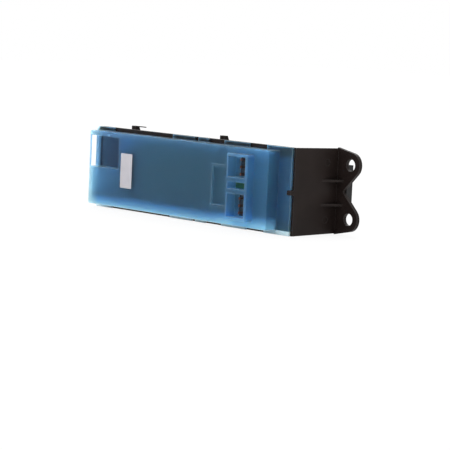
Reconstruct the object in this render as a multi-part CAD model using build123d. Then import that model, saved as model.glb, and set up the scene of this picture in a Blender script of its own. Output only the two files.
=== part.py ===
"""Power window switch for a driver's door, standing on its long lower side.

Working axes: X runs along the long side towards the screw ears, Y from the rear
cover towards the knobs, Z up.  Distances are in millimetres and are measured from
the cover flange: its left end, its rear face and its lower edge.  The finished
pieces are moved so that the origin lies midway between the two ear screws, on the
seating face of the ears.
"""

import os
from math import radians, sin

from build123d import *

# ---------------------------------------------------------------- rear cover
cover_length = 176.6      # flange, end to end
height = 50.0             # flange and end wall, edge to edge
flange_thickness = 1.5
flange_corner = 3.0
cover_wall = 1.5
box_left = 4.0            # flange overhang at the left end
flange_right = 10.2       # flange overhang at the right end
flange_overhang = 2.3     # above and below the raised box
box_depth = 8.4           # raised box behind the flange
box_edge = 0.5            # small round along the rear edges of the box, chamfer on the socket
box_corner = 1.0
flange_gaps = ((16.6, 56.4), (93.0, 3.2), (105.1, 14.3), (140.7, 15.2))  # start, length

pocket_right = 32.8       # pocket at the left end, open to the rear and to the left
pocket_height = 19.4
pocket_top_inset = 5.1    # below the upper edge of the flange
pocket_depth = 7.8
pocket_lip = 3.4          # height of the side wall left standing behind the flange
corner_bar = 0.8          # thin bar that bridges the pocket's outer corner
pocket_nick_start = 22.2
pocket_nick_length = 3.4
pocket_nick_rise = 0.9

recess_width = 17.3       # shallow rectangle beside the socket
recess_bottom = 13.0
recess_top_inset = 14.6
recess_depth = 0.8
recess_frame = 1.2        # raised border round the recess
recess_frame_height = 0.4

socket_width = 17.9
socket_right_inset = 11.6  # to the right end of the box
socket_inset = 5.7        # to the upper and lower edges of the flange
socket_rise = 5.5         # stands this far behind the box
socket_wall = 1.6
upper_cavity_height = 11.9
lower_cavity_height = 13.5
lower_cavity_inset = 2.2  # above the socket's lower edge
slot_height = 4.0         # slot midway between the two cavities
cavity_depth = 6.6        # socket rim to the cavity floors
floor_window = 7.8        # width of the opening for the terminals in each floor
floor_window_inset = 0.6  # below and above it

label_left = 35.1
label_width = 10.8
label_bottom = 14.7
label_height = 21.1
label_thickness = 0.12

# ---------------------------------------------------------------- board
board_thickness = 1.6
board_side_gap = 2.5      # to the inside of the cover box
board_pocket_gap = 1.2    # to the walls of the pocket
header_height = 5.0
header_gap = 0.3          # inner face of the cover to the header
header_margin = 1.2       # header reaches this far beyond the terminals' opening
terminal_count = 3
terminal_pitch = 4.2
terminal_width = 1.5
terminal_thickness = 0.8
terminal_reach = 4.2      # free length in front of the header
terminal_tail = 1.0       # beyond the far side of the board
terminal_hole_gap = 0.1

# ---------------------------------------------------------------- housing
rim_thickness = 2.0
body_inset_left = 3.0
body_inset = 4.0          # below the upper and above the lower edge
body_corner = 2.0
housing_wall = 2.2
end_wall = 2.0
wall_draft = 0.6          # end wall lower by this at its top and bottom, towards the ears
end_wall_gap = 1.4        # flange end to the outer face of the end wall
seat_depth = 37.5         # seating face of the ears, also the front rim of the body
deck_inset = 9.0          # front of the deck behind the seating face
deck_thickness = 2.0

ear_thickness = 2.2
ear_hole_radius = 3.5
ear_hole_spacing = 31.0
ear_hole_reach = 10.2     # hole centre beyond the end wall
ear_radius = 7.1
ear_foot = 0.6            # ears start this far inside the outer face of the end wall
ear_pad_rise = 0.3        # pads round the holes, in front of the rest of the ears
notch_reach = 4.7         # bottom of the V between the ears
notch_round = 1.2
gusset_low = 17.2
gusset_top_inset = 18.9
gusset_leg = 12.5
gusset_foot = 5.0
gusset_thickness = 1.2
ejector_radius = 1.9
ejector_depth = 0.25
ejector_back = 8.3        # centre behind the ears
ejector_inset = 8.5       # centre from the upper and lower edges

hook_centre = 24.6        # latch hook that holds the flange's right end
hook_width = 2.6
hook_reach = 3.0
hook_thickness = 1.2
hook_gap = 0.3

claw_starts = (18.7, 101.3)
claw_width = 4.0
claw_back = 12.5
claw_thickness = 2.7
claw_tip = 1.2
claw_tip_slope = 0.6
claw_height = 5.4
finger_length = 7.0
finger_thickness = 0.6

post_size = 4.6
post_inset = 11.0         # centre from the upper and lower edges
post_end_inset = 9.0      # centre from the ends of the box
stake_radius = 1.2
stake_gap = 0.1
stake_reach = 0.6         # stake standing out behind the board

# ---------------------------------------------------------------- switch levers
pivot_inset = 3.5         # hinge lines behind the seating face
lever_angle = 10.0
lever_arm = 11.5          # hinge line to the centre of the driving tip
lever_wall_gap = 0.45     # outermost cheek to the wall of the body
lever_row_gap = 3.3       # between the cheeks of the two rows
tip_radius = 1.5
neck_half = 1.0
cap_length = 20.0
cap_side_inset = 0.35     # cap narrower than the cheeks, on each side
cap_underside = 9.2       # from the hinge line
cap_edge = 15.0
cap_dip = 1.8
cap_round = 1.0
cheek_thickness = 1.3
cheek_eye = 3.0
stub_radius = 1.5
bore_gap = 0.06
side_gap = 0.2            # cheek to well
well_wall = 1.35
well_top_inset = 1.5      # behind the seating face
well_board_gap = 1.5
carriage_length = 12.0
carriage_cover = 2.0      # fork arms beyond the centre of the driving tip
carriage_gap = 0.15       # across the slide
end_gap = 0.3             # along the slide, at full travel
carriage_board_gap = 0.5
tip_gap = 0.1
fork_depth = 5.0
bridge_thickness = 0.4
bridge_margin = 1.0       # carriage beyond the bridge at each end
bridge_side_margin = 1.5
bridge_slot = 2.0

window_left = 45.0        # left one of the two columns of window knobs
window_pitch = 30.0
rocker_inset = 31.0       # door lock rocker to the right end of the box
rocker_peak = 11.0

# ---------------------------------------------------------------- window lock button
lock_cap = 13.0
lock_round = 1.0
lock_edge = 0.6
lock_collar = 15.0
lock_collar_height = 2.0
lock_gap = 0.1
lock_proud = 5.5          # above the panel at rest
lock_travel = 2.5
lock_stem = 4.0
lock_guide_wall = 1.3
lock_switch_size = 10.0
lock_switch_height = 9.0
lock_switch_bore = 5.0
lock_engagement = 2.0     # stem inside the switch at rest

# ---------------------------------------------------------------- front panel
panel_left = 1.5
panel_right_inset = 1.6   # behind the flange's right end
panel_top_inset = 4.6
panel_thickness = 5.4
panel_corner = 3.0
panel_round = 1.0
panel_lip = 3.0
panel_lip_wall = 1.5
panel_lip_gap = 0.2
opening_gap = 0.5
tongue_reach = 6.0        # beyond the end wall, between the ears
tongue_bottom = 16.0
tongue_top_inset = 9.8
tongue_gap = 0.3          # to the pads of the ears

# ---------------------------------------------------------------- other board parts
controller_inset = 47.0   # controller and capacitor to the right end of the box
controller_top_inset = 14.0
controller_size = 10.0
controller_height = 1.6
controller_stand = 0.2
controller_legs = 7       # on each side
leg_pitch = 1.27
leg_width = 0.45
leg_length = 1.2
leg_reach = 1.0           # beyond the body
capacitor_bottom_inset = 12.0
capacitor_radius = 3.15
capacitor_height = 5.8
capacitor_edge = 0.4

over = 1.0                # cuts run this far past the faces they open

# ---------------------------------------------------------------- derived places
box_right = cover_length - flange_right
box_bottom = flange_overhang
box_top = height - flange_overhang
box_back = -box_depth
cover_inside = box_back + cover_wall
pocket_top = height - pocket_top_inset
pocket_bottom = pocket_top - pocket_height
pocket_floor = box_back + pocket_depth
socket_right = box_right - socket_right_inset
socket_left = socket_right - socket_width
socket_bottom = socket_inset
socket_top = height - socket_inset
socket_middle = (socket_left + socket_right) / 2
socket_back = box_back - socket_rise
cavity_floor = socket_back + cavity_depth
upper_cavity_top = socket_top - socket_wall
upper_cavity_bottom = upper_cavity_top - upper_cavity_height
lower_cavity_bottom = socket_bottom + lower_cavity_inset
lower_cavity_top = lower_cavity_bottom + lower_cavity_height
slot_middle = (lower_cavity_top + upper_cavity_bottom) / 2
plug_cavities = {"upper": (upper_cavity_bottom, upper_cavity_top),
                 "lower": (lower_cavity_bottom, lower_cavity_top)}
recess_left = socket_left - recess_width
recess_top = height - recess_top_inset

header_back = cover_inside + header_gap
board_back = header_back + header_height
board_front = board_back + board_thickness

rim_back = flange_thickness
rim_front = rim_back + rim_thickness
wall_face = cover_length + end_wall_gap
wall_inside = wall_face - end_wall
body_bottom = body_inset
body_top = height - body_inset
ear_back = seat_depth - ear_thickness
ear_hole_x = wall_face + ear_hole_reach
ear_hole_z = (height / 2 - ear_hole_spacing / 2, height / 2 + ear_hole_spacing / 2)
deck_front = seat_depth - deck_inset
deck_back = deck_front - deck_thickness
inner_left = body_inset_left + housing_wall
inner_bottom = body_bottom + housing_wall
inner_top = body_top - housing_wall

panel_right = cover_length - panel_right_inset
panel_top = height - panel_top_inset
panel_front = seat_depth + panel_thickness
tongue_right = wall_face + tongue_reach
tongue_top = height - tongue_top_inset

lever_width = (inner_top - inner_bottom - lever_row_gap) / 2 - lever_wall_gap
cap_width = lever_width - 2 * cap_side_inset
row_offset = (lever_row_gap + lever_width) / 2
well_width = lever_width - 2 * (cheek_thickness + side_gap)
well_inner_width = well_width - 2 * well_wall
carriage_width = well_inner_width - 2 * carriage_gap
slide_travel = lever_arm * radians(lever_angle)
well_inner_length = carriage_length + 2 * (slide_travel + end_gap)
well_length = well_inner_length + 2 * well_wall
well_back = board_front + well_board_gap
well_top = seat_depth - well_top_inset
pivot_depth = seat_depth - pivot_inset
carriage_back = board_front + carriage_board_gap
carriage_top = pivot_depth - lever_arm + carriage_cover
window_columns = (window_left, window_left + window_pitch)
window_rows = (height / 2 - row_offset, height / 2 + row_offset)
rocker_place = (box_right - rocker_inset, height / 2)
lever_places = [(x, z) for x in window_columns for z in window_rows] + [rocker_place]

lock_place = ((window_columns[-1] + rocker_place[0]) / 2, height / 2)
lock_top = panel_front + lock_proud
collar_top = seat_depth - end_gap
lock_guide_inner = lock_collar + 2 * lock_gap
lock_guide_outer = lock_guide_inner + 2 * lock_guide_wall
lock_switch_top = board_front + lock_switch_height
stem_end = lock_switch_top - lock_engagement
controller_place = (box_right - controller_inset, height - controller_top_inset)
capacitor_place = (box_right - controller_inset, capacitor_bottom_inset)

post_left = (box_left + post_end_inset, post_inset)
post_columns = ((window_columns[-1] + lock_place[0]) / 2, box_right - post_end_inset)
post_places = [post_left] + [(x, z) for x in post_columns for z in (post_inset, height - post_inset)]

to_row_frame = Pos(-ear_hole_x, -seat_depth, -height / 2)


# ---------------------------------------------------------------- drawing helpers
def span(x0, x1, z0, z1, radius=0.0):
    """Rectangle in the XZ plane between two corners."""
    size_x, size_z = x1 - x0, z1 - z0
    shape = RectangleRounded(size_x, size_z, radius) if radius else Rectangle(size_x, size_z)
    return Pos((x0 + x1) / 2, (z0 + z1) / 2) * shape


def around(place, size_x, size_z, radius=0.0):
    """Rectangle in the XZ plane about a centre."""
    x, z = place
    return span(x - size_x / 2, x + size_x / 2, z - size_z / 2, z + size_z / 2, radius)


def spot(place, radius):
    """Circle in the XZ plane about a centre."""
    return Pos(*place) * Circle(radius)


def prism(outline, back, front):
    """Carry an XZ outline through the depth, from back to front."""
    return extrude(Plane.XZ.offset(-back) * outline, amount=back - front)


def side_prism(outline, place, pivot, z0, z1):
    """Carry an XY outline, drawn about a hinge line, from z0 to z1."""
    plane = Plane.XY.offset(z0)
    return extrude(plane * (Pos(place[0], pivot) * outline), amount=z1 - z0)


# ---------------------------------------------------------------- rear cover
def flange_outline(right):
    """Outline of flange and rim: rounded at the left end, square at the right."""
    sheet = span(0, 2 * flange_corner + over, 0, height, flange_corner)
    return sheet + span(flange_corner, right, 0, height)


def flange():
    plate = prism(flange_outline(cover_length), 0, flange_thickness)
    for start, length in flange_gaps:
        for z0, z1 in ((-over, box_bottom), (box_top, height + over)):
            plate -= prism(span(start, start + length, z0, z1), -over, flange_thickness + over)
    z0 = hook_centre - hook_width / 2 - hook_gap
    z1 = hook_centre + hook_width / 2 + hook_gap
    nick = span(wall_inside - hook_gap, cover_length + over, z0, z1)
    return plate - prism(nick, -over, flange_thickness + over)


def pocket_walls():
    """Side wall, sill and floor that close the pocket towards the board."""
    outer = span(box_left, pocket_right + cover_wall, pocket_bottom - cover_wall, box_top)
    return prism(outer, cover_inside, pocket_floor + cover_wall)


def pocket_space():
    mouth = span(box_left + corner_bar, pocket_right, pocket_bottom, pocket_top)
    rear = prism(mouth, box_back - over, box_back + corner_bar)
    inside = span(box_left + cover_wall, pocket_right, pocket_bottom, pocket_top)
    room = prism(inside, box_back, pocket_floor)
    left = span(box_left - over, pocket_right, pocket_bottom, pocket_top)
    window = prism(left, box_back + corner_bar, -pocket_lip)
    nick_end = pocket_nick_start + pocket_nick_length
    nick = span(pocket_nick_start, nick_end, pocket_top - over, pocket_top + pocket_nick_rise)
    return rear + room + window + prism(nick, box_back - over, box_back + cover_wall)


def socket_body():
    outline = span(socket_left, socket_right, socket_bottom, socket_top, socket_wall)
    body = prism(outline, socket_back, cover_inside)
    rim = body.faces().sort_by(Axis.Y)[0].outer_wire().edges()
    return chamfer(rim, box_edge)


def cavity_outline(bottom, top):
    return span(socket_left + socket_wall, socket_right - socket_wall, bottom, top)


def floor_opening(bottom, top):
    return span(socket_middle - floor_window / 2, socket_middle + floor_window / 2,
                bottom + floor_window_inset, top - floor_window_inset)


def recess_border():
    frame = span(recess_left - recess_frame, socket_left,
                 recess_bottom - recess_frame, recess_top + recess_frame)
    return prism(frame, box_back - recess_frame_height, cover_inside)


def rear_cover():
    outer = prism(span(box_left, box_right, box_bottom, box_top, box_corner), box_back, rim_back)
    back_edges = outer.faces().sort_by(Axis.Y)[0].edges()
    outer = fillet(back_edges, box_edge)
    inner = span(box_left + cover_wall, box_right - cover_wall,
                 box_bottom + cover_wall, box_top - cover_wall)
    cover = outer + flange() - prism(inner, cover_inside, rim_back + over)
    cover = cover + pocket_walls() + socket_body() + recess_border() - pocket_space()
    for bottom, top in plug_cavities.values():
        cover += prism(cavity_outline(bottom, top), cover_inside, header_back)
        cover -= prism(cavity_outline(bottom, top), socket_back - over, cavity_floor)
        cover -= prism(floor_opening(bottom, top), cavity_floor - over, header_back + over)
    slot = cavity_outline(slot_middle - slot_height / 2, slot_middle + slot_height / 2)
    cover -= prism(slot, socket_back - over, cover_inside + over)
    recess = span(recess_left, socket_left, recess_bottom, recess_top)
    return cover - prism(recess, box_back - over, box_back + recess_depth)


def label():
    outline = span(label_left, label_left + label_width,
                   label_bottom, label_bottom + label_height)
    return prism(outline, box_back - label_thickness, box_back)


# ---------------------------------------------------------------- board and terminals
def terminal_places(cavity):
    bottom, top = plug_cavities[cavity]
    middle = (bottom + top) / 2
    steps = [i - (terminal_count - 1) / 2 for i in range(terminal_count)]
    return [(socket_middle, middle + step * terminal_pitch) for step in steps]


def circuit_board():
    gap = cover_wall + board_side_gap
    outline = span(box_left + gap, box_right - gap, box_bottom + gap, box_top - gap)
    outline -= span(0, pocket_right + cover_wall + board_pocket_gap,
                    pocket_bottom - cover_wall - board_pocket_gap, height)
    for place in post_places:
        outline -= spot(place, stake_radius + stake_gap)
    for cavity in plug_cavities:
        for place in terminal_places(cavity):
            outline -= around(place, terminal_thickness + 2 * terminal_hole_gap,
                              terminal_width + 2 * terminal_hole_gap)
    return prism(outline, board_back, board_front)


def pin_header(cavity):
    bottom, top = plug_cavities[cavity]
    half = floor_window / 2 + header_margin
    outline = span(socket_middle - half, socket_middle + half, bottom, top)
    for place in terminal_places(cavity):
        outline -= around(place, terminal_thickness, terminal_width)
    return prism(outline, header_back, board_back)


def terminal(place):
    outline = around(place, terminal_thickness, terminal_width)
    blade = prism(outline, header_back - terminal_reach, board_front + terminal_tail)
    tip = blade.faces().sort_by(Axis.Y)[0].edges()
    return chamfer(tip, terminal_thickness / 4)


def controller():
    x, z = controller_place
    body = prism(around(controller_place, controller_size, controller_size),
                 board_front + controller_stand, board_front + controller_height)
    leg_centre = controller_size / 2 + leg_reach - leg_length / 2
    for step in range(controller_legs):
        leg_z = z + (step - (controller_legs - 1) / 2) * leg_pitch
        for side in (-1, 1):
            leg = around((x + side * leg_centre, leg_z), leg_length, leg_width)
            body += prism(leg, board_front, board_front + controller_height / 2)
    return body


def capacitor():
    can = prism(spot(capacitor_place, capacitor_radius), board_front, board_front + capacitor_height)
    return chamfer(can.faces().sort_by(Axis.Y)[-1].edges(), capacitor_edge)


# ---------------------------------------------------------------- housing
def ear_wing(hole_z, edge_z):
    """One ear: the hull of its round end, the wall's edge and the V's bottom."""
    middle = height / 2
    foot_x = wall_face - ear_foot
    foot = Polyline((foot_x, edge_z), (foot_x, middle), (wall_face + notch_reach, middle))
    eye = spot((ear_hole_x, hole_z), ear_radius)
    return make_hull(eye.edges() + foot.edges())


def tapered_end_wall():
    """End wall, a little lower at the ears than at the rim."""
    side = Polygon((rim_back, 0), (seat_depth, wall_draft), (seat_depth, height - wall_draft),
                   (rim_back, height), align=None)
    return extrude(Plane.YZ.offset(wall_inside) * side, amount=end_wall)


def ear_plate():
    low, high = ear_hole_z
    outline = ear_wing(low, 0) + ear_wing(high, height)
    notch = outline.vertices().sort_by_distance((wall_face + notch_reach, height / 2))[0]
    outline = fillet(notch, notch_round)
    for z in ear_hole_z:
        outline -= spot((ear_hole_x, z), ear_hole_radius)
    return prism(outline, ear_back, seat_depth)


def gusset(z):
    """Three-cornered rib between the end wall and the rear of the ears."""
    corner = (wall_inside, ear_back + ear_thickness / 2)
    outline = Polygon(corner, (wall_inside, ear_back - gusset_leg), (wall_face, ear_back - gusset_leg),
                      (wall_face + gusset_foot, ear_back), (wall_face + gusset_foot, corner[1]),
                      align=None)
    plane = Plane.XY.offset(z - gusset_thickness / 2)
    return extrude(plane * outline, amount=gusset_thickness)


def ejector_mark(z):
    disc = Cylinder(ejector_radius, 2 * ejector_depth, rotation=(0, 90, 0))
    return Pos(wall_face, ear_back - ejector_back, z) * disc


def latch_hook():
    """Arm of the end wall that reaches round the flange's right end."""
    z0, z1 = hook_centre - hook_width / 2, hook_centre + hook_width / 2
    arm = prism(span(wall_inside, wall_face, z0, z1), -hook_thickness, rim_front)
    nose = prism(span(wall_face - hook_reach, wall_face, z0, z1), -hook_thickness, 0)
    return arm + nose


def snap_claw(start, with_finger):
    """Hook on top of the body whose tip points to the front."""
    front = claw_back + claw_thickness
    top = body_top + claw_height
    outline = Polyline((claw_back, body_top - over), (claw_back, top), (front, top),
                       (front + claw_tip, top - claw_thickness),
                       (front, top - claw_thickness - claw_tip_slope),
                       (front, body_top - over), close=True)
    claw = extrude(Plane.YZ.offset(start) * make_face(outline), amount=claw_width)
    if with_finger:
        sliver = span(start + claw_width - over, start + claw_width + finger_length,
                      top - finger_thickness, top)
        claw += prism(sliver, front - finger_thickness, front)
    return claw


def well(place):
    """Tube that guides one carriage, with the two stubs that carry its lever."""
    x, z = place
    tube = prism(around(place, well_length, well_width), well_back, well_top)
    stub = Cylinder(stub_radius, well_width + 2 * (side_gap + cheek_thickness))
    return tube + Pos(x, pivot_depth, z) * stub


def well_space(place):
    return prism(around(place, well_inner_length, well_inner_width), well_back - over, well_top + over)


def board_post(place):
    stake = prism(spot(place, stake_radius), board_back - stake_reach, board_front + over)
    return prism(around(place, post_size, post_size), board_front, deck_front) + stake


def housing():
    body = prism(span(body_inset_left, wall_face, body_bottom, body_top, body_corner),
                 rim_back, seat_depth)
    shell = body + prism(flange_outline(wall_face), rim_back, rim_front)
    shell += tapered_end_wall()
    inner = span(inner_left, wall_inside, inner_bottom, inner_top)
    shell -= prism(inner, rim_back - over, deck_back) + prism(inner, deck_front, seat_depth + over)
    shell += ear_plate() + latch_hook()
    for z in (gusset_low, height - gusset_top_inset):
        shell += gusset(z)
    for z in (ejector_inset, height - ejector_inset):
        shell -= ejector_mark(z)
    for start in claw_starts:
        shell += snap_claw(start, start == claw_starts[0])
    for place in post_places:
        shell += board_post(place)
    for place in lever_places:
        shell += well(place)
    for place in lever_places:
        shell -= well_space(place)
    shell += prism(around(lock_place, lock_guide_outer, lock_guide_outer), deck_back, collar_top)
    shell -= prism(around(lock_place, lock_guide_inner, lock_guide_inner), deck_front, seat_depth)
    stem_hole = lock_stem + 2 * lock_gap
    shell -= prism(around(lock_place, stem_hole, stem_hole), deck_back - over, deck_front + over)
    behind_pads = span(wall_inside, tongue_right + tongue_gap, -over, height + over)
    return shell - prism(behind_pads, seat_depth - ear_pad_rise, seat_depth + over)


# ---------------------------------------------------------------- front panel
def lever_opening(place):
    swing = (cap_underside * sin(radians(lever_angle)) + opening_gap) * 2
    return around(place, cap_length + swing, cap_width + 2 * opening_gap)


def front_panel():
    outline = span(panel_left, panel_right, 0, panel_top, panel_corner)
    outline += span(panel_right - panel_corner, tongue_right, tongue_bottom, tongue_top)
    plate = prism(outline, seat_depth, panel_front)
    rim = plate.faces().sort_by(Axis.Y)[-1].outer_wire().edges()
    plate = chamfer(rim, panel_round)
    gap = panel_lip_gap
    lip = span(inner_left + gap, wall_inside - gap, inner_bottom + gap, inner_top - gap)
    gap += panel_lip_wall
    lip -= span(inner_left + gap, wall_inside - gap, inner_bottom + gap, inner_top - gap)
    plate += prism(lip, seat_depth - panel_lip, seat_depth)
    for place in lever_places:
        plate -= prism(lever_opening(place), seat_depth - panel_lip - over, panel_front + over)
    button = lock_cap + 2 * lock_gap
    return plate - prism(around(lock_place, button, button, lock_round), seat_depth - over,
                         panel_front + over)


# ---------------------------------------------------------------- levers
def paddle_profile():
    """Finger dip between two raised ends, for the window knobs."""
    half = cap_length / 2
    sides = Polyline((-half, cap_edge), (-half, cap_underside), (half, cap_underside), (half, cap_edge))
    top = ThreePointArc((half, cap_edge), (0, cap_edge - cap_dip), (-half, cap_edge))
    return make_face(sides + top)


def rocker_profile():
    """Shallow V that is low in the middle, for the door lock rocker."""
    half = cap_length / 2
    return Polygon((-half, cap_underside), (half, cap_underside), (half, cap_edge),
                   (0, rocker_peak), (-half, cap_edge), align=None)


def cheek_profile():
    eye = Circle(cheek_eye)
    root = Polyline((-cap_length / 4, cap_underside), (cap_length / 4, cap_underside))
    return make_hull(eye.edges() + root.edges()) - Circle(stub_radius + bore_gap)


def lever(place, profile):
    z = place[1]
    cap = side_prism(profile, place, pivot_depth, z - cap_width / 2, z + cap_width / 2)
    cap = fillet(cap.edges().filter_by(Axis.Z).group_by(Axis.Y)[-1], cap_round)
    inner = well_width / 2 + side_gap
    for z0, z1 in ((z - inner - cheek_thickness, z - inner), (z + inner, z + inner + cheek_thickness)):
        cap += side_prism(cheek_profile(), place, pivot_depth, z0, z1)
    neck = Polyline((-neck_half, -lever_arm), (-neck_half, cap_underside),
                    (neck_half, cap_underside), (neck_half, -lever_arm), close=True)
    foot = make_face(neck) + Pos(0, -lever_arm) * Circle(tip_radius)
    foot_half = carriage_width / 2 - cheek_thickness
    return cap + side_prism(foot, place, pivot_depth, z - foot_half, z + foot_half)


def carriage(place):
    """Contact carriage: a block whose fork is driven by the lever's tip."""
    block = prism(around(place, carriage_length, carriage_width), carriage_back, carriage_top)
    fork = around(place, 2 * (tip_radius + tip_gap), carriage_width + 2 * over)
    return block - prism(fork, carriage_top - fork_depth, carriage_top + over)


def contact_bridge(place):
    bridge_length = carriage_length - 2 * bridge_margin
    outline = around(place, bridge_length, carriage_width - 2 * bridge_side_margin)
    outline -= around(place, bridge_length - 2 * bridge_slot, bridge_slot)
    return prism(outline, carriage_back - bridge_thickness, carriage_back)


# ---------------------------------------------------------------- lock button
def lock_button():
    cap = prism(around(lock_place, lock_cap, lock_cap, lock_round),
                collar_top - lock_collar_height, lock_top)
    cap = chamfer(cap.faces().sort_by(Axis.Y)[-1].edges(), lock_edge)
    collar = prism(around(lock_place, lock_collar, lock_collar), collar_top - lock_collar_height,
                   collar_top)
    stem = prism(around(lock_place, lock_stem, lock_stem), stem_end, collar_top)
    return cap + collar + stem


def lock_switch():
    case = prism(around(lock_place, lock_switch_size, lock_switch_size), board_front, lock_switch_top)
    bore = lock_stem + 2 * lock_gap
    return case - prism(around(lock_place, bore, bore), lock_switch_top - lock_switch_bore,
                        lock_switch_top + over)


# ---------------------------------------------------------------- all pieces
def pieces():
    yield "housing", housing()
    yield "rear_cover", rear_cover()
    yield "front_panel", front_panel()
    yield "label", label()
    yield "circuit_board", circuit_board()
    for cavity in plug_cavities:
        yield f"pin_header_{cavity}", pin_header(cavity)
        for number, place in enumerate(terminal_places(cavity), 1):
            yield f"terminal_{cavity}_{number}", terminal(place)
    for number, place in enumerate(lever_places[:-1], 1):
        yield f"window_knob_{number}", lever(place, paddle_profile())
        yield f"carriage_{number}", carriage(place)
        yield f"contact_bridge_{number}", contact_bridge(place)
    yield "door_lock_rocker", lever(rocker_place, rocker_profile())
    yield "rocker_carriage", carriage(rocker_place)
    yield "rocker_contact_bridge", contact_bridge(rocker_place)
    yield "lock_button", lock_button()
    yield "lock_switch", lock_switch()
    yield "controller", controller()
    yield "capacitor", capacitor()


os.makedirs("parts", exist_ok=True)
for name, shape in pieces():
    export_step(to_row_frame * shape, f"parts/{name}.step")
    print(name, round(shape.volume))
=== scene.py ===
# %% [markdown]
# # A driver's-door window switch
#
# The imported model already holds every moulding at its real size.  This lesson dresses
# it: it gives each plastic, metal and paper surface its own finish, adds the printed
# marks, and sets up a white photo table with a long lens.

import math

import bpy
from mathutils import Euler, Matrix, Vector


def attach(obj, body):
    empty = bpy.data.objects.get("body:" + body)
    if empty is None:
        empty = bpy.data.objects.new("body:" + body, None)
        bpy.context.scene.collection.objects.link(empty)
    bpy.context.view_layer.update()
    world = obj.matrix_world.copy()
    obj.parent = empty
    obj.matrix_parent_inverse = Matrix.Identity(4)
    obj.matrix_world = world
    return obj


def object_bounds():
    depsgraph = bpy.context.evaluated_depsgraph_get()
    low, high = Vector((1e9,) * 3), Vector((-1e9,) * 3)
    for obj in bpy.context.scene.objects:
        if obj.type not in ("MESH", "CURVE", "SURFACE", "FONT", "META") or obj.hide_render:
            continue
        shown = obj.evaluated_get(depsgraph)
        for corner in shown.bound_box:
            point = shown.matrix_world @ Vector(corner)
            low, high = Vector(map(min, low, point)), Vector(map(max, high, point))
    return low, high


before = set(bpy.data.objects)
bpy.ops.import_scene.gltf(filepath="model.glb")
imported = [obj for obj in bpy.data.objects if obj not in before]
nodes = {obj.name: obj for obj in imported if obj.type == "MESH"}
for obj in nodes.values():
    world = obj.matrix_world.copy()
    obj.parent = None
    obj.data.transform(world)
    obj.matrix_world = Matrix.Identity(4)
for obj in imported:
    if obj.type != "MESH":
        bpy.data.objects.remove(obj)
cad_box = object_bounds()
MM = 0.001

# %% [markdown]
# ## Helpers for materials
#
# Every finish starts from one Principled shader.  A few numbers are the same all over
# the surface, so they are set on the shader's own sockets.  What varies, such as a
# grain or a faint cloud in the colour, comes from noise read in object coordinates.  An
# image would need unwrapped faces; noise needs only a place, so it fits any moulding.

# %% Material helpers
def new_material(name):
    """A material with a plain Principled shader; returns it with its node tree."""
    material = bpy.data.materials.new(name)
    material.use_nodes = True
    return material, material.node_tree


def shader_of(tree):
    """The Principled shader of a node tree."""
    return next(n for n in tree.nodes if n.type == "BSDF_PRINCIPLED")


def noise(tree, scale, detail=3.0, roughness=0.5):
    """Noise in object coordinates, so it stays on the piece when it moves."""
    place = tree.nodes.new("ShaderNodeTexCoord")
    texture = tree.nodes.new("ShaderNodeTexNoise")
    texture.inputs["Scale"].default_value = scale
    texture.inputs["Detail"].default_value = detail
    texture.inputs["Roughness"].default_value = roughness
    tree.links.new(place.outputs["Object"], texture.inputs["Vector"])
    return texture.outputs["Fac"]


def ramp(tree, factor, low, high, start=0.3, end=0.7):
    """Blend two colours along a factor."""
    node = tree.nodes.new("ShaderNodeValToRGB")
    node.color_ramp.elements[0].position = start
    node.color_ramp.elements[1].position = end
    node.color_ramp.elements[0].color = (*low, 1)
    node.color_ramp.elements[1].color = (*high, 1)
    tree.links.new(factor, node.inputs["Fac"])
    return node.outputs["Color"]

# %% [markdown]
# ## Grain, and a finish put on its pieces
#
# A moulded grain is far too shallow to model, so a Bump node tilts the surface's normal
# by the height of a noise.  The finished material then goes into the first slot of each
# piece that is moulded in it.

# %% Grain and dressing
def bump(tree, height, strength, distance):
    """Let a height tilt the shader's normal."""
    node = tree.nodes.new("ShaderNodeBump")
    node.inputs["Strength"].default_value = strength
    node.inputs["Distance"].default_value = distance
    tree.links.new(height, node.inputs["Height"])
    tree.links.new(node.outputs["Normal"], shader_of(tree).inputs["Normal"])


def dress(material, *names):
    """Put one finish on CAD nodes."""
    for name in names:
        mesh = nodes[name].data
        mesh.materials.clear()
        mesh.materials.append(material)
    print(material.name, "on", len(names), "pieces")

# %% [markdown]
# ## Small steps for a material that follows the shape
#
# Four small helpers: a sum or product, a fade along one direction, a share that holds
# between two places, and a step towards another tint.  They turn a place on the piece
# into a number from 0 to 1, and that number into a colour or a gloss.

# %% Shares
def calculate(tree, operation, first, second):
    """A Math node; each side is a socket or a number."""
    node = tree.nodes.new("ShaderNodeMath")
    node.operation = operation
    for side, value in enumerate((first, second)):
        if isinstance(value, float):
            node.inputs[side].default_value = value
        else:
            tree.links.new(value, node.inputs[side])
    return node.outputs["Value"]


def fade(tree, coordinate, start, end, low, high):
    """Goes from low to high while a coordinate goes from start to end."""
    node = tree.nodes.new("ShaderNodeMapRange")
    values = {"From Min": start, "From Max": end, "To Min": low, "To Max": high}
    for name, value in values.items():
        node.inputs[name].default_value = value
    tree.links.new(coordinate, node.inputs["Value"])
    return node.outputs["Result"]


def between(tree, coordinate, low, high, blur=0.3 * MM):
    """One between two places, zero outside them."""
    after = fade(tree, coordinate, low - blur, low, 0.0, 1.0)
    before = fade(tree, coordinate, high, high + blur, 1.0, 0.0)
    return calculate(tree, "MULTIPLY", after, before)


def tint_towards(tree, share, colour, tint):
    """Step from a colour socket towards one tint, by a share."""
    node = tree.nodes.new("ShaderNodeMix")
    node.data_type = "RGBA"
    tree.links.new(share, node.inputs["Factor"])
    tree.links.new(colour, node.inputs[6])
    node.inputs[7].default_value = (*tint, 1)
    return node.outputs[2]
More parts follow.
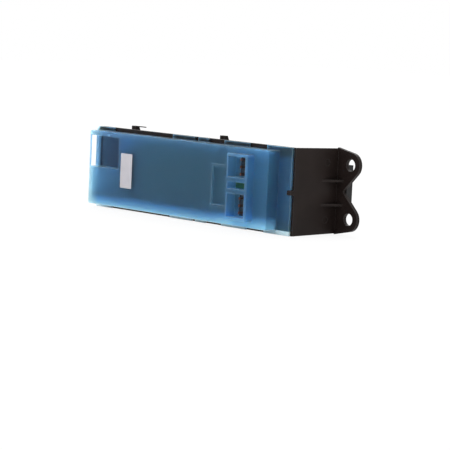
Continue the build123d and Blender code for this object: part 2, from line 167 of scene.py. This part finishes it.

# %% [markdown]
# ## Finding the moulded edges
#
# A moulded edge is thinner and catches light; the share found here paints that highlight
# into the colour.  A Bevel node gives the normal that the surface would have with its edges
# rounded; where that leans away from the face's own normal, there is an edge.

# %% Edges
EDGE_SAMPLES = 6
EDGE_STARTS = 0.995
EDGE_IS_FULL = 0.85


def edge_share(tree, radius, share):
    """Rises from zero on a flat face to share along a moulded edge."""
    rounded = tree.nodes.new("ShaderNodeBevel")
    rounded.samples = EDGE_SAMPLES
    rounded.inputs["Radius"].default_value = radius
    face = tree.nodes.new("ShaderNodeNewGeometry")
    alike = tree.nodes.new("ShaderNodeVectorMath")
    alike.operation = "DOT_PRODUCT"
    tree.links.new(rounded.outputs["Normal"], alike.inputs[0])
    tree.links.new(face.outputs["Normal"], alike.inputs[1])
    return fade(tree, alike.outputs["Value"], EDGE_STARTS, EDGE_IS_FULL, 0.0, share)

# %% [markdown]
# ## Black housing plastic
#
# The housing and the front panel are moulded in black glass-filled nylon, the knobs in a
# smoother one.  None is pure black: the housing is a warm dark grey with a fine
# spark-eroded grain that breaks up the reflections, so a satin roughness and a very
# shallow fine noise are enough.  Along the edges the plastic is smoother, and a painted
# highlight makes it a little greyer there, most of all on the housing.

# %% Black plastic
# The grey below is a painted highlight, laid along the edges.
EDGE_HIGHLIGHT_GREY = (0.10, 0.094, 0.09)
EDGE_HIGHLIGHT_REACH = 0.5 * MM
EDGE_SMOOTHING = 0.5
CLOUD_SCALE = 60.0
GLOSS_SCALE = 350.0
GLOSS_SWING = 0.06
GRAIN_SCALE = 2600.0
GRAIN_DEPTH = 0.05 * MM


def moulded_black(name, low, high, shine, roughness, grain, edge_highlight):
    """Black from low to high, with a grain, and a painted highlight and a smoother gloss along
    the edges by a share.
    """
    material, tree = new_material(name)
    shader = shader_of(tree)
    shader.inputs["Specular IOR Level"].default_value = shine
    colour = ramp(tree, noise(tree, CLOUD_SCALE), low, high)
    # Painted highlight: the colour steps towards a lighter grey along the edges.
    edge = edge_share(tree, EDGE_HIGHLIGHT_REACH, edge_highlight)
    colour = tint_towards(tree, edge, colour, EDGE_HIGHLIGHT_GREY)
    tree.links.new(colour, shader.inputs["Base Color"])
    gloss = fade(tree, noise(tree, GLOSS_SCALE, 4.0), 0.0, 1.0,
                 roughness - GLOSS_SWING, roughness + GLOSS_SWING)
    smoother = calculate(tree, "MULTIPLY", edge, EDGE_SMOOTHING)
    grained = calculate(tree, "SUBTRACT", gloss, smoother)
    tree.links.new(grained, shader.inputs["Roughness"])
    bump(tree, noise(tree, GRAIN_SCALE, 2.0), grain, GRAIN_DEPTH)
    return material


housing_black = moulded_black(
    "housing_black", (0.0150, 0.0102, 0.0090), (0.0215, 0.0146, 0.0129),
    shine=0.12, roughness=0.44, grain=0.35, edge_highlight=0.35)
panel_black = moulded_black(
    "panel_black", (0.013, 0.013, 0.0135), (0.019, 0.019, 0.0195),
    shine=0.3, roughness=0.55, grain=0.6, edge_highlight=0.2)
knob_black = moulded_black(
    "knob_black", (0.017, 0.017, 0.0175), (0.023, 0.023, 0.0235),
    shine=0.45, roughness=0.36, grain=0.25, edge_highlight=0.2)
dress(housing_black, "housing")
dress(panel_black, "front_panel")
window_knobs = [n for n in nodes if n.startswith("window_knob")]
dress(knob_black, *window_knobs, "door_lock_rocker", "lock_button")

# %% [markdown]
# ## Translucent blue cover: the colours
#
# The rear cover is a thin moulding in milky blue polypropylene.  Light spreads while it
# passes through the wall, so the surface is as rough as a surface can be and almost all
# of it is transmission: the board and the housing behind it only show as a dark teal.
# The plastic is one colour, but how much of it is seen depends on what lies behind it and
# on how much light comes in from the side, so each of these places has a painted tint of its
# own: a painted glow, painted highlights and painted shade.

# %% Tints of the cover
COVER_TINT = (0.29, 0.545, 0.75)
# The next two tints are a painted glow, dim and full.
COVER_DIM_GLOW_TINT = (0.22, 0.58, 1.0)
COVER_GLOW_TINT = (0.33, 0.69, 1.0)
# Painted light: the left and right ends are drawn lighter.
COVER_LEFT_LIGHT_TINT = (0.335, 0.63, 0.92)
COVER_RIGHT_LIGHT_TINT = (0.30, 0.69, 1.0)
# Painted shade on the pocket's floor.
COVER_POCKET_SHADE = (0.31, 0.46, 0.63)
# Painted glow at the very left end and on the pocket's lip.
COVER_END_GLOW_TINT = (0.64, 0.90, 1.0)
COVER_LIP_GLOW_TINT = (0.46, 0.76, 1.0)
# Painted highlights on the lower rim and the moulded edges.
COVER_RIM_HIGHLIGHT = (0.68, 0.87, 1.0)
COVER_CORNER_HIGHLIGHT = (0.62, 0.84, 1.0)
COVER_IOR = 1.5
COVER_HAZE = 1.0
COVER_DEPTH = 1.0 * MM
COVER_GRAIN_SCALE = 900.0
COVER_GRAIN = 0.12
COVER_GRAIN_DEPTH = 0.03 * MM
# The tint printed as milky is the tint of the painted glow.
print("cover tint from", COVER_TINT, "where it is clear to", COVER_GLOW_TINT, "where milky")

# %% [markdown]
# ## Translucent blue cover: where the light gets in
#
# Towards the rims light comes in from below and from the end, and a painted glow stands for
# it: there the plastic is drawn milky and pale.  The places follow the shape of the moulding,
# so they are lengths from its own rims: the flange round the foot of the box, the box's lower
# wall with the painted glow, the pocket at the left end, and the right end that has no board
# behind it.

# %% Places on the cover
FLANGE_THICKNESS = 1.5 * MM
FLANGE_OVERHANG = 2.3 * MM
FLANGE_LEFT = 4.0 * MM
LOWER_REACH = 9.5 * MM
RIGHT_LIFT = 1.7 * MM
UPPER_REACH = 4.0 * MM
END_REACH = 14.0 * MM
RIGHT_REACH = 42.0 * MM
RIGHT_BLUR = 16.0 * MM
LEFT_REACH = 60.0 * MM
LEFT_BLUR = 40.0 * MM
POCKET_LENGTH = 32.8 * MM
POCKET_TOP = 5.1 * MM
POCKET_HEIGHT = 19.4 * MM
POCKET_FLOOR = 2.1 * MM
FLOOR_BAND = 0.2 * MM
LOWER_EDGE = 0.6 * MM
CORNER_RADIUS = 0.6 * MM
# Shares of painted glow and painted highlight; the body's share is the plastic's own haze.
LOWER_GLOW_SHARE = 0.80
UPPER_GLOW_SHARE = 0.045
FLANGE_SHARE = 0.2
LOWER_RIM_HIGHLIGHT_SHARE = 1.0
CORNER_HIGHLIGHT_SHARE = 0.42
BODY_MILK = 0.02
RIGHT_GLOW_SHARE = 0.06
cover_corners = [Vector(corner) for corner in nodes["rear_cover"].bound_box]
cover_low = Vector(map(min, *cover_corners))
cover_high = Vector(map(max, *cover_corners))
print("cover size in mm:", [round(side / MM, 1) for side in cover_high - cover_low])

# %% [markdown]
# ## Painted glow on the cover, place by place
#
# The painted glow is strongest on the lower wall, because it stands over the pale table.  The
# flange behind it lies flat on the case and gets only a part of that.  The share grows with
# the square of the nearness, which keeps the middle clear and dark, and the painted glow
# climbs a little towards the right end, where nothing behind the wall shades it.

# %% Painted glow share
def glow_and_haze_at(tree, x, y, z):
    """How much painted glow, over a little haze, the wall has at a place: high at the lower
    rim, low in the middle.
    """
    box_bottom = cover_low.z + FLANGE_OVERHANG
    box_top = cover_high.z - FLANGE_OVERHANG
    flange = cover_high.y - FLANGE_THICKNESS
    start = cover_high.x - RIGHT_REACH - RIGHT_BLUR
    lift = fade(tree, x, start, start + RIGHT_BLUR, 0.0, RIGHT_LIFT)
    lifted = calculate(tree, "SUBTRACT", z, lift)
    # Painted glow: strongest over the lower wall, faint below the top.
    lower = fade(tree, lifted, box_bottom + LOWER_REACH, box_bottom, 0.0, 1.0)
    lower = calculate(tree, "MULTIPLY", calculate(tree, "POWER", lower, 2.0), LOWER_GLOW_SHARE)
    upper = fade(tree, z, box_top - UPPER_REACH, box_top, 0.0, UPPER_GLOW_SHARE)
    on_box = fade(tree, y, flange, flange - FLANGE_THICKNESS, FLANGE_SHARE, 1.0)
    haze_and_glow = calculate(tree, "MULTIPLY", calculate(tree, "MAXIMUM", lower, upper), on_box)
    start = cover_high.x - RIGHT_REACH
    body = fade(tree, x, start, start + RIGHT_BLUR, BODY_MILK, RIGHT_GLOW_SHARE)
    return calculate(tree, "MAXIMUM", haze_and_glow, body)


def beside_pocket(tree, z):
    """One at the height of the pocket at the left end."""
    top = cover_high.z - POCKET_TOP
    return between(tree, z, top - POCKET_HEIGHT, top)


def pocket_floor(tree, x, y, z):
    """One on the floor of the pocket."""
    depth = cover_high.y - POCKET_FLOOR
    along = between(tree, x, cover_low.x + FLANGE_LEFT, cover_low.x + POCKET_LENGTH)
    floor = between(tree, y, depth - FLOOR_BAND, depth + FLOOR_BAND)
    place = calculate(tree, "MULTIPLY", along, beside_pocket(tree, z))
    return calculate(tree, "MULTIPLY", place, floor)

# %% [markdown]
# ## The tint and the finished blue
#
# The tint starts from the painted glow and steps towards the tint of each place: the right
# end and the thin left end, which is almost clear, drawn lighter as painted light, a painted
# glow on the lip of the pocket, painted shade on the pocket's floor, which has the black case
# close behind it, and painted highlights on the pale moulded edges.  Then the shader turns
# from transmission to subsurface scattering by the share of painted glow.

# %% Blue plastic
DEEP_AT = 0.2
PALE_AT = 0.7
LEFT_FADES_AT = 0.1
RIGHT_SHARE = 0.6


def blue_tint(tree, haze_and_glow, corner, x, y, z):
    """The colour at a place with its painted glow, highlights and shade, and the share of
    painted highlight on the lower rim.
    """
    tone = ramp(tree, haze_and_glow, COVER_TINT, COVER_GLOW_TINT, BODY_MILK, PALE_AT)
    deep = tone.node.color_ramp.elements.new(DEEP_AT)
    deep.color = (*COVER_DIM_GLOW_TINT, 1)
    start = cover_high.x - RIGHT_REACH
    right = fade(tree, x, start, start + RIGHT_BLUR, 0.0, RIGHT_SHARE)
    start = cover_low.x + LEFT_REACH
    left = fade(tree, x, start, start - LEFT_BLUR, 0.0, 1.0)
    clear = fade(tree, haze_and_glow, LEFT_FADES_AT, BODY_MILK, 0.0, 1.0)
    left = calculate(tree, "MULTIPLY", left, clear)
    end = fade(tree, x, cover_low.x + END_REACH, cover_low.x + FLANGE_LEFT, 0.0, 1.0)
    box_bottom = cover_low.z + FLANGE_OVERHANG
    # Painted highlight share along the lower rim.
    rim = fade(tree, z, box_bottom + LOWER_EDGE, box_bottom, 0.0, LOWER_RIM_HIGHLIGHT_SHARE)
    # Painted light: the right and left ends are drawn lighter, the very end as a painted glow.
    tone = tint_towards(tree, right, tone, COVER_RIGHT_LIGHT_TINT)
    tone = tint_towards(tree, left, tone, COVER_LEFT_LIGHT_TINT)
    tone = tint_towards(tree, end, tone, COVER_END_GLOW_TINT)
    # Painted glow on the lip of the pocket.
    lip = calculate(tree, "MULTIPLY", end, beside_pocket(tree, z))
    tone = tint_towards(tree, lip, tone, COVER_LIP_GLOW_TINT)
    # Painted shade: the pocket's floor is drawn darker.
    tone = tint_towards(tree, pocket_floor(tree, x, y, z), tone, COVER_POCKET_SHADE)
    # Painted highlights: the lower rim and the moulded edges are drawn pale.
    tone = tint_towards(tree, rim, tone, COVER_RIM_HIGHLIGHT)
    tone = tint_towards(tree, corner, tone, COVER_CORNER_HIGHLIGHT)
    return tone, rim


def translucent_blue():
    """The cover's material, from transmission to a milky painted glow by place."""
    material, tree = new_material("cover_blue")
    shader = shader_of(tree)
    place = tree.nodes.new("ShaderNodeTexCoord")
    split = tree.nodes.new("ShaderNodeSeparateXYZ")
    tree.links.new(place.outputs["Object"], split.inputs["Vector"])
    x, y, z = (split.outputs[axis] for axis in "XYZ")
    haze_and_glow = glow_and_haze_at(tree, x, y, z)
    # Painted highlight share along the cover's moulded edges.
    corner = edge_share(tree, CORNER_RADIUS, CORNER_HIGHLIGHT_SHARE)
    tone, rim = blue_tint(tree, haze_and_glow, corner, x, y, z)
    haze_and_glow = calculate(tree, "MAXIMUM", haze_and_glow, calculate(tree, "MAXIMUM", rim, corner))
    tree.links.new(tone, shader.inputs["Base Color"])
    clear = calculate(tree, "SUBTRACT", 1.0, haze_and_glow)
    tree.links.new(clear, shader.inputs["Transmission Weight"])
    shader.inputs["Roughness"].default_value = COVER_HAZE
    shader.inputs["IOR"].default_value = COVER_IOR
    shader.inputs["Subsurface Weight"].default_value = 1.0
    shader.inputs["Subsurface Radius"].default_value = (1.0, 1.0, 1.0)
    shader.inputs["Subsurface Scale"].default_value = COVER_DEPTH
    bump(tree, noise(tree, COVER_GRAIN_SCALE, 2.0), COVER_GRAIN, COVER_GRAIN_DEPTH)
    return material


dress(translucent_blue(), "rear_cover")

# %% [markdown]
# ## Board, metals and small parts
#
# The circuit board shows through the slot between the two plugs, so it gets a green
# solder mask.  The terminals are copper alloy, and the carriages stay natural white.
# These pieces are small or deep inside, so two near colours in a fine noise and one
# roughness are enough for each.

# %% Board and small parts
def plain(name, low, high, roughness, scale=200.0, metallic=0.0):
    """A finish with one roughness and a faint noise between two colours."""
    material, tree = new_material(name)
    shader = shader_of(tree)
    colour = ramp(tree, noise(tree, scale), low, high)
    tree.links.new(colour, shader.inputs["Base Color"])
    shader.inputs["Roughness"].default_value = roughness
    shader.inputs["Metallic"].default_value = metallic
    return material


dress(plain("solder_mask", (0.030, 0.092, 0.020), (0.044, 0.122, 0.030), 0.35),
      "circuit_board")
dress(plain("terminal_copper", (0.27, 0.14, 0.10), (0.37, 0.20, 0.145), 0.42, metallic=1.0),
      *[n for n in nodes if n.startswith("terminal") or "contact_bridge" in n])
dress(plain("carriage_white", (0.7, 0.69, 0.65), (0.76, 0.75, 0.71), 0.45),
      *[n for n in nodes if "carriage" in n])
dress(plain("chip_black", (0.01, 0.01, 0.01), (0.02, 0.02, 0.02), 0.4),
      "pin_header_upper", "pin_header_lower", "lock_switch", "controller")
dress(plain("can_aluminium", (0.7, 0.71, 0.73), (0.78, 0.79, 0.8), 0.3, metallic=1.0),
      "capacitor")
dress(plain("label_paper", (0.455, 0.44, 0.475), (0.495, 0.48, 0.515), 0.6), "label")

# %% [markdown]
# ## Printed marks
#
# The signs on the knobs are pad-printed.  A print could be painted into the plastic's
# material, but a thin piece of its own keeps a crisp edge at any distance.  Each mark is
# drawn flat just in front of its knob, laid on the curved cap by a Shrinkwrap modifier
# that looks straight down on it, and given the thickness of a print.

# %% Print
PRINT_THICKNESS = 0.06 * MM
PRINT_GAP = 0.01 * MM
FACING_FRONT = -math.pi / 2
print_white = plain("print_white", (0.56, 0.56, 0.54), (0.64, 0.64, 0.62), 0.5, 900.0)


def lay_on(piece, name, body):
    """Drop a flat print onto a CAD node and let it ride with the body."""
    wrap = piece.modifiers.new("wrap", "SHRINKWRAP")
    wrap.target = nodes[body]
    wrap.wrap_method = "PROJECT"
    wrap.use_project_y = True
    wrap.use_positive_direction = False
    wrap.use_negative_direction = True
    wrap.offset = PRINT_GAP
    bpy.ops.object.modifier_apply(modifier=wrap.name)
    skin = piece.modifiers.new("skin", "SOLIDIFY")
    skin.thickness = PRINT_THICKNESS
    skin.offset = 1.0
    bpy.ops.object.modifier_apply(modifier=skin.name)
    piece.name = name
    piece.data.materials.append(print_white)
    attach(piece, body)
    print("mark", name, "faces", len(piece.data.polygons))


def centre_of(name):
    """Middle of a CAD node, and a height just in front of it."""
    corners = [Vector(corner) for corner in nodes[name].bound_box]
    low, high = Vector(map(min, *corners)), Vector(map(max, *corners))
    return (low + high) / 2, high.y + MM

# %% [markdown]
# ## Arrows on the window knobs
#
# A driver finds the ends of a window knob by a small arrow at each end.  A circle with
# three corners is the arrow head.  It is inset into an outline and cut fine enough to
# bend over the cap.

# %% Arrows
MARK_SIZE = 1.5 * MM
MARK_LINE = 0.34 * MM
MARK_INSET = 5.6 * MM
MARK_CUTS = 4


def arrow(body, towards):
    """An outlined arrow head at one end of a knob; towards is -1 or 1 along X."""
    middle, ahead = centre_of(body)
    bpy.ops.object.select_all(action="DESELECT")
    bpy.ops.mesh.primitive_circle_add(
        vertices=3, radius=MARK_SIZE, fill_type="NGON",
        location=(middle.x + towards * MARK_INSET, ahead, middle.z),
        rotation=(FACING_FRONT, towards * FACING_FRONT, 0))
    piece = bpy.context.object
    bpy.ops.object.transform_apply(location=True, rotation=True, scale=True)
    bpy.ops.object.mode_set(mode="EDIT")
    bpy.ops.mesh.inset(thickness=MARK_LINE)
    bpy.ops.mesh.delete(type="FACE")
    bpy.ops.mesh.select_all(action="SELECT")
    bpy.ops.mesh.subdivide(number_cuts=MARK_CUTS)
    bpy.ops.object.mode_set(mode="OBJECT")
    lay_on(piece, f"{body}_arrow_{'right' if towards > 0 else 'left'}", body)


for knob in window_knobs:
    for end in (-1, 1):
        arrow(knob, end)

# %% [markdown]
# ## Padlocks on the door lock rocker
#
# The rocker locks all doors with one end and unlocks them with the other, which a closed
# and an open padlock say without words.  A plane is the body.  The shackle is half a
# ring: a circle inset into a ring, whose lower vertices are then deleted.

# %% Padlocks
LOCK_WIDTH = 2.4 * MM
LOCK_HEIGHT = 1.7 * MM
SHACKLE_RADIUS = 0.85 * MM
SHACKLE_LINE = 0.34 * MM
SHACKLE_FOOT = 0.05 * MM
SHACKLE_CORNERS = 32


def lock_body(place):
    """The flat body of a padlock, with its middle at a place."""
    bpy.ops.object.select_all(action="DESELECT")
    bpy.ops.mesh.primitive_plane_add(size=1.0, location=place, rotation=(FACING_FRONT, 0, 0))
    lock = bpy.context.object
    lock.scale = (LOCK_WIDTH, LOCK_HEIGHT, 1.0)
    bpy.ops.object.transform_apply(location=True, rotation=True, scale=True)
    return lock


def shackle_around(place):
    """The upper half of a flat ring around a place."""
    bpy.ops.object.select_all(action="DESELECT")
    bpy.ops.mesh.primitive_circle_add(
        vertices=SHACKLE_CORNERS, radius=SHACKLE_RADIUS, fill_type="NGON",
        location=place, rotation=(FACING_FRONT, 0, 0))
    shackle = bpy.context.object
    bpy.ops.object.transform_apply(location=True, rotation=True, scale=True)
    bpy.ops.object.mode_set(mode="EDIT")
    bpy.ops.mesh.inset(thickness=SHACKLE_LINE)
    bpy.ops.mesh.delete(type="FACE")
    bpy.ops.object.mode_set(mode="OBJECT")
    for vertex in shackle.data.vertices:
        vertex.select = vertex.co.z < place.z - SHACKLE_FOOT
    bpy.ops.object.mode_set(mode="EDIT")
    bpy.ops.mesh.delete(type="VERT")
    bpy.ops.object.mode_set(mode="OBJECT")
    return shackle

# %% [markdown]
# ## Body and shackle become one mark
#
# The two flat pieces are joined into one mesh, so that they are laid on the cap and ride
# on the rocker together.  Moving the shackle sideways before they are joined opens it.

# %% Joined padlocks
SHACKLE_SWING = 1.4 * MM
LOCK_CUTS = 3


def padlock(body, towards, swing):
    """A padlock whose shackle is moved sideways by swing, which opens it."""
    middle, ahead = centre_of(body)
    place = Vector((middle.x + towards * MARK_INSET, ahead, middle.z - LOCK_HEIGHT / 2))
    lock = lock_body(place)
    shackle = shackle_around(place + Vector((swing, 0, LOCK_HEIGHT / 2)))
    bpy.ops.object.select_all(action="DESELECT")
    lock.select_set(True)
    shackle.select_set(True)
    bpy.context.view_layer.objects.active = lock
    bpy.ops.object.join()
    bpy.ops.object.mode_set(mode="EDIT")
    bpy.ops.mesh.select_all(action="SELECT")
    bpy.ops.mesh.subdivide(number_cuts=LOCK_CUTS)
    bpy.ops.object.mode_set(mode="OBJECT")
    lay_on(lock, f"{body}_{'open' if swing else 'closed'}_padlock", body)


padlock("door_lock_rocker", -1, 0.0)
padlock("door_lock_rocker", 1, SHACKLE_SWING)

# %% [markdown]
# ## Photo table
#
# The switch stands on its long side on a sheet of white paper.  The camera sees paper
# and backdrop as plain white; every other ray sees a studio that is bright on the left
# and dim on the right, as a room with one large window is.  That unevenness gives the
# black end wall its depth and lets the left and lower walls of the cover light up.

# %% Floor and world
PAPER_WHITE = (0.95, 0.95, 0.95, 1)
PAPER_ROUGHNESS = 0.8
FLOOR_SIZE = 6.0
FLOOR_GLOW = 0.9
STUDIO_DIM = 0.4
STUDIO_BRIGHT = 1.7
BRIGHT_SIDE = (-0.95, 0.1, 0.3)
FALL_OFF = 0.8


def seen_directly(tree):
    """1 where the camera, a reflection or a view through plastic looks, else 0."""
    path = tree.nodes.new("ShaderNodeLightPath")
    seen = path.outputs["Is Camera Ray"]
    for ray in ("Is Glossy Ray", "Is Transmission Ray"):
        seen = calculate(tree, "MAXIMUM", seen, path.outputs[ray])
    return seen


def white_sheet():
    """White paper that also looks white to the camera, with the shadow kept in part."""
    material, tree = new_material("white_sheet")
    shader = shader_of(tree)
    shader.inputs["Base Color"].default_value = PAPER_WHITE
    shader.inputs["Roughness"].default_value = PAPER_ROUGHNESS
    shader.inputs["Specular IOR Level"].default_value = 0.0
    glow = tree.nodes.new("ShaderNodeEmission")
    mix = tree.nodes.new("ShaderNodeMixShader")
    share = calculate(tree, "MULTIPLY", seen_directly(tree), FLOOR_GLOW)
    tree.links.new(share, mix.inputs["Fac"])
    tree.links.new(shader.outputs["BSDF"], mix.inputs[1])
    tree.links.new(glow.outputs["Emission"], mix.inputs[2])
    output = next(n for n in tree.nodes if n.type == "OUTPUT_MATERIAL")
    tree.links.new(mix.outputs["Shader"], output.inputs["Surface"])
    return material


def studio_world():
    """Light that falls off from the bright side of the room to the dim one."""
    world = bpy.data.worlds.new("studio")
    world.use_nodes = True
    tree = world.node_tree
    background = next(n for n in tree.nodes if n.type == "BACKGROUND")
    background.inputs["Color"].default_value = (1, 1, 1, 1)
    direction = tree.nodes.new("ShaderNodeTexCoord")
    facing = tree.nodes.new("ShaderNodeVectorMath")
    facing.operation = "DOT_PRODUCT"
    facing.inputs[1].default_value = BRIGHT_SIDE
    tree.links.new(direction.outputs["Generated"], facing.inputs[0])
    level = fade(tree, facing.outputs["Value"], -FALL_OFF, FALL_OFF, STUDIO_DIM, STUDIO_BRIGHT)
    seen = tree.nodes.new("ShaderNodeMix")
    tree.links.new(seen_directly(tree), seen.inputs[0])
    tree.links.new(level, seen.inputs[2])
    seen.inputs[3].default_value = 1.0
    tree.links.new(seen.outputs[0], background.inputs["Strength"])
    return world


low, high = (Vector(corner) for corner in cad_box)
bpy.ops.object.select_all(action="DESELECT")
bpy.ops.mesh.primitive_plane_add(size=FLOOR_SIZE, location=(0, 0, low.z))
floor = bpy.context.object
floor.name = "floor"
floor.data.materials.append(white_sheet())
bpy.context.scene.world = studio_world()
print("floor", FLOOR_SIZE, "m wide under a part", round((high.z - low.z) / MM, 1), "mm high")

# %% [markdown]
# ## Camera
#
# The switch is seen from behind its ear end, a little from above.  A long lens from over
# a metre away keeps the long sides nearly parallel, as a close, wide lens would not.

# %% Camera
AZIMUTH = math.radians(47.87)
ELEVATION = math.radians(5.92)
ROLL = math.radians(2.61)
DISTANCE = 1.16
LENS = 159.1
AIM = Vector((-0.06571, -0.03692, -0.02436))
back = Vector((math.sin(AZIMUTH) * math.cos(ELEVATION),
               -math.cos(AZIMUTH) * math.cos(ELEVATION), math.sin(ELEVATION)))
camera_data = bpy.data.cameras.new("camera")
camera_data.lens = LENS
camera = bpy.data.objects.new("camera", camera_data)
bpy.context.scene.collection.objects.link(camera)
camera.location = AIM + back * DISTANCE
turn = back.to_track_quat("Z", "Y")
camera.rotation_mode = "QUATERNION"
camera.rotation_quaternion = turn @ Euler((0, 0, ROLL)).to_quaternion()
bpy.context.scene.camera = camera
print("camera with a lens of", LENS, "mm at", DISTANCE, "m")

# %% [markdown]
# ## Lamp
#
# One large softbox above, behind and to the left of the switch adds a soft shadow on
# the paper and a highlight along the upper edges.  The world gives the rest.

# %% Lamp
KEY_POWER = 6.0
KEY_SIZE = 0.9
KEY_PLACE = (-0.5, 0.6, 1.0)


def softbox(name, location, size, power, target):
    """A square area lamp that faces a target."""
    data = bpy.data.lights.new(name, "AREA")
    data.size = size
    data.energy = power
    lamp = bpy.data.objects.new(name, data)
    bpy.context.scene.collection.objects.link(lamp)
    lamp.location = location
    direction = Vector(target) - Vector(location)
    lamp.rotation_euler = direction.to_track_quat("-Z", "Y").to_euler()
    print("lamp", name, "of", power, "W")


middle = (low + high) / 2
softbox("key", middle + Vector(KEY_PLACE), KEY_SIZE, KEY_POWER, middle)

# %% [markdown]
# ## Finish
#
# Colours are shown as they are written, without a film curve.

# %% Finish
scene = bpy.context.scene
scene.view_settings.view_transform = "Standard"
